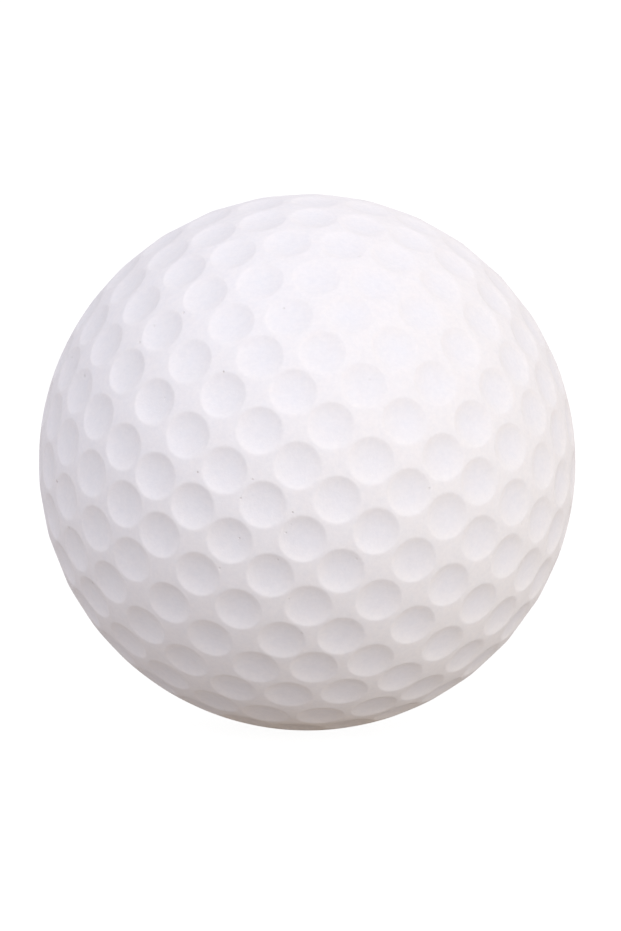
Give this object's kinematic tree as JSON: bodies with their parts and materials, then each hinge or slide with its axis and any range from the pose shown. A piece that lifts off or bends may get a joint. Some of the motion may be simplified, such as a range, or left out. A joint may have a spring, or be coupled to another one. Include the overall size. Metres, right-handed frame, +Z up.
{
  "type": "foam golf ball",
  "caption": "Soft foam practice golf ball: a cellular foam core inside a dense matte white skin with round dimples, moulded in halves.",
  "frame": {"origin": "centre of the ball", "axes": "+Z up, Y along the mould axis with the front pole at -Y and the parting plane in XZ, +X to the right seen from the front"},
  "size_m": [0.0426, 0.0426, 0.0426],
  "materials": {
    "skin": "matte, fine-grained closed skin of white flexible polyurethane foam with scattered pinholes",
    "core": "open cellular white polyurethane foam, very matte"
  },
  "bodies": {
    "root": {"front_skin": "skin", "rear_skin": "skin", "foam_core": "core"}
  },
  "joints": []
}
